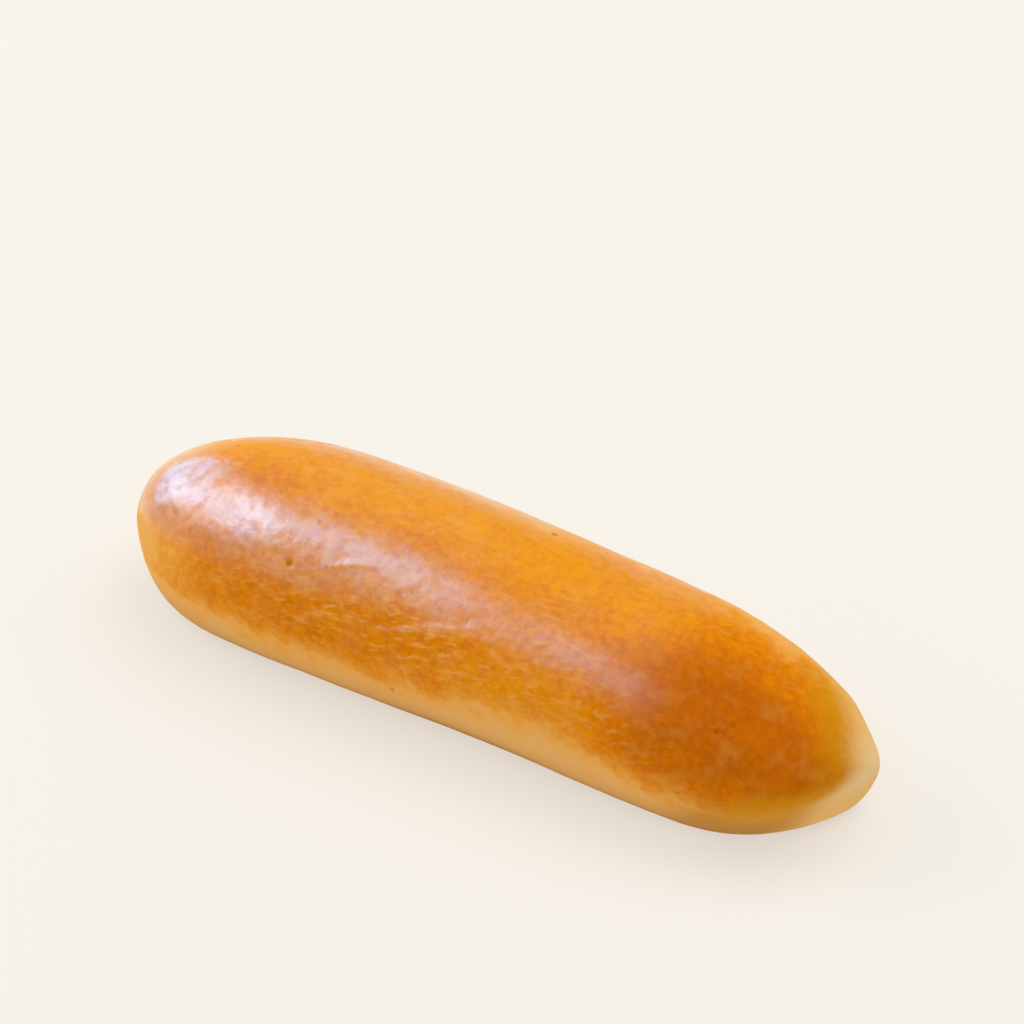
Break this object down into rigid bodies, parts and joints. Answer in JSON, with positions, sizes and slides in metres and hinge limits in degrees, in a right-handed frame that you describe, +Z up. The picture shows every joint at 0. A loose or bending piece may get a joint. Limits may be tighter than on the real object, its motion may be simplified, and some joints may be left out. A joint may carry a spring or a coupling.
{
  "type": "brioche finger bun",
  "caption": "Finger-shaped brioche bun with a glossy golden-brown egg-washed crust, a flat baked underside and one pale tapered end.",
  "frame": {"origin": "middle of the bun's box in plan, on the flat underside that it rests on", "axes": "+X along the bun towards its pale tapered end, +Y across it, +Z up from the flat underside"},
  "size_m": [0.1374, 0.039, 0.0333],
  "materials": {
    "crust": "satin"
  },
  "bodies": {
    "root": {"brioche_bun": "crust"}
  },
  "joints": []
}
